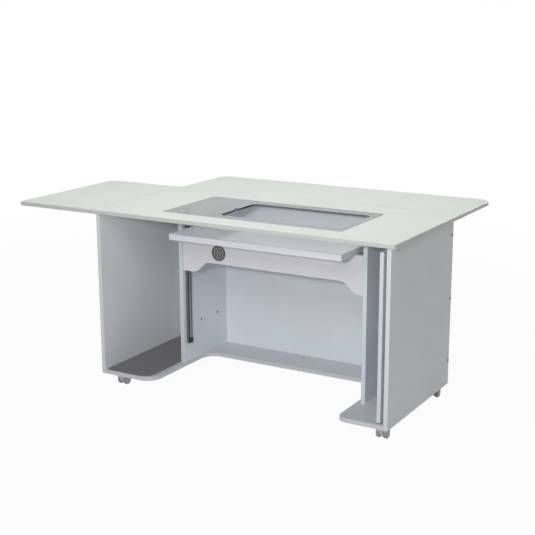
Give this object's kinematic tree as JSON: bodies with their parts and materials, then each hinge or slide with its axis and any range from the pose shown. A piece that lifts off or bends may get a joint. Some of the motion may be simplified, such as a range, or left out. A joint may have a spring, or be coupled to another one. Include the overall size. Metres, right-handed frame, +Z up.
{
  "type": "sewing cabinet",
  "caption": "Sewing cabinet on castors: worktop with drop leaves at the left and back, cut-out with clear insert, gas-sprung machine lift, open bays and a pull-out board.",
  "frame": {"origin": "on the floor, under the centre of the bounding box of the opened cabinet", "axes": "+X to the user's right along the front edge, +Y to the back, +Z up"},
  "size_m": [1.79, 1.036, 0.77],
  "materials": {
    "worktop_laminate": "satin off-white laminate with soft rounded edges",
    "white_board": "satin white melamine-faced board with white edge band",
    "grey_board": "satin mid-grey melamine-faced board with light grey edge band",
    "tinted_acrylic": "polished grey-tinted clear acrylic",
    "zinc_steel": "zinc-plated pressed steel",
    "dark_steel": "dark grey powder-coated steel",
    "rod_steel": "ground and nitrided rod",
    "dark_plastic": "matt dark grey moulding",
    "grey_plastic": "matt mid-grey nylon moulding"
  },
  "bodies": {
    "cabinet": {"base_plate": "grey_board", "left_side_panel": "white_board", "right_side_panel": "white_board", "back_panel": "white_board", "left_divider": "white_board", "right_divider": "white_board", "panel_screw_caps": "dark_plastic", "bolt_caps": "dark_plastic", "main_top": "worktop_laminate", "left_lift_track": "dark_steel", "right_lift_track": "dark_steel", "left_rod_anchor": "dark_plastic", "right_rod_anchor": "dark_plastic", "left_spring_rod": "rod_steel", "right_spring_rod": "rod_steel", "left_hinge_plates": "zinc_steel", "left_hinge_pins": "zinc_steel", "left_stay_rails": "zinc_steel", "rear_hinge_plates": "zinc_steel", "rear_hinge_pins": "zinc_steel", "rear_stay_rails": "zinc_steel", "lower_runner_rail": "zinc_steel", "upper_runner_rail": "zinc_steel", "castor_plate_front_left": "zinc_steel", "castor_plate_front_right": "zinc_steel", "castor_plate_rear_left": "zinc_steel", "castor_plate_rear_right": "zinc_steel"},
    "insert": {"clear_insert": "tinted_acrylic"},
    "lift": {"lift_platform": "white_board", "lift_beam": "white_board", "vent_cap": "dark_plastic", "left_spring_cylinder": "dark_steel", "right_spring_cylinder": "dark_steel", "left_buffer_spring": "dark_steel", "right_buffer_spring": "dark_steel", "left_glides": "dark_plastic", "right_glides": "dark_plastic", "left_carriage": "dark_steel", "right_carriage": "dark_steel"},
    "left_drop_leaf": {"left_leaf": "worktop_laminate", "left_hinge_flaps": "zinc_steel", "left_stay_brackets": "zinc_steel", "left_stay_pins": "zinc_steel"},
    "left_stays": {"left_stay_struts": "zinc_steel"},
    "rear_drop_leaf": {"rear_leaf": "worktop_laminate", "rear_hinge_flaps": "zinc_steel", "rear_stay_brackets": "zinc_steel", "rear_stay_pins": "zinc_steel"},
    "rear_stays": {"rear_stay_struts": "zinc_steel"},
    "pullout": {"pullout_board": "white_board", "lower_runner_slide": "zinc_steel", "upper_runner_slide": "zinc_steel"},
    "castor_front_left": {"castor_hood_front_left": "grey_plastic"},
    "castor_pair_front_left": {"castor_wheels_front_left": "grey_plastic"},
    "castor_front_right": {"castor_hood_front_right": "grey_plastic"},
    "castor_pair_front_right": {"castor_wheels_front_right": "grey_plastic"},
    "castor_rear_left": {"castor_hood_rear_left": "grey_plastic"},
    "castor_pair_rear_left": {"castor_wheels_rear_left": "grey_plastic"},
    "castor_rear_right": {"castor_hood_rear_right": "grey_plastic"},
    "castor_pair_rear_right": {"castor_wheels_rear_right": "grey_plastic"}
  },
  "joints": [
    {"name": "lift_slide", "type": "slide", "parent": "cabinet", "child": "lift", "axis": [0, 0, 1], "range_m": [-0.2, 0]},
    {"name": "insert_lift_out", "type": "slide", "parent": "cabinet", "child": "insert", "axis": [0, 0, 1], "range_m": [0, 0.06]},
    {"name": "left_leaf_drop", "type": "hinge", "parent": "cabinet", "child": "left_drop_leaf", "pos_m": [-0.502, 0, 0.747], "axis": [0, -1, 0], "range_deg": [0, 90]},
    {"name": "left_stay_fold", "type": "hinge", "parent": "left_drop_leaf", "child": "left_stays", "pos_m": [-0.642, 0, 0.7354], "axis": [0, 1, 0], "range_deg": [0, 135]},
    {"name": "rear_leaf_drop", "type": "hinge", "parent": "cabinet", "child": "rear_drop_leaf", "pos_m": [0, 0.142, 0.747], "axis": [-1, 0, 0], "range_deg": [0, 90]},
    {"name": "rear_stay_fold", "type": "hinge", "parent": "rear_drop_leaf", "child": "rear_stays", "pos_m": [0, 0.282, 0.7284], "axis": [1, 0, 0], "range_deg": [0, 135]},
    {"name": "pullout_slide", "type": "slide", "parent": "cabinet", "child": "pullout", "axis": [0, -1, 0], "range_m": [0, 0.4]},
    {"name": "castor_swivel_front_left", "type": "hinge", "parent": "cabinet", "child": "castor_front_left", "pos_m": [-0.393, -0.48, 0.0425], "axis": [0, 0, 1], "continuous": true},
    {"name": "castor_roll_front_left", "type": "hinge", "parent": "castor_front_left", "child": "castor_pair_front_left", "pos_m": [-0.393, -0.464, 0.019], "axis": [1, 0, 0], "continuous": true},
    {"name": "castor_swivel_front_right", "type": "hinge", "parent": "cabinet", "child": "castor_front_right", "pos_m": [0.839, -0.48, 0.0425], "axis": [0, 0, 1], "continuous": true},
    {"name": "castor_roll_front_right", "type": "hinge", "parent": "castor_front_right", "child": "castor_pair_front_right", "pos_m": [0.839, -0.464, 0.019], "axis": [1, 0, 0], "continuous": true},
    {"name": "castor_swivel_rear_left", "type": "hinge", "parent": "cabinet", "child": "castor_rear_left", "pos_m": [-0.393, 0.036, 0.0425], "axis": [0, 0, 1], "continuous": true},
    {"name": "castor_roll_rear_left", "type": "hinge", "parent": "castor_rear_left", "child": "castor_pair_rear_left", "pos_m": [-0.393, 0.052, 0.019], "axis": [1, 0, 0], "continuous": true},
    {"name": "castor_swivel_rear_right", "type": "hinge", "parent": "cabinet", "child": "castor_rear_right", "pos_m": [0.839, 0.036, 0.0425], "axis": [0, 0, 1], "continuous": true},
    {"name": "castor_roll_rear_right", "type": "hinge", "parent": "castor_rear_right", "child": "castor_pair_rear_right", "pos_m": [0.839, 0.052, 0.019], "axis": [1, 0, 0], "continuous": true}
  ],
  "couplings": [
    {"joint": "left_stay_fold", "follows": "left_leaf_drop", "ratio": 1.5},
    {"joint": "rear_stay_fold", "follows": "rear_leaf_drop", "ratio": 1.5}
  ]
}
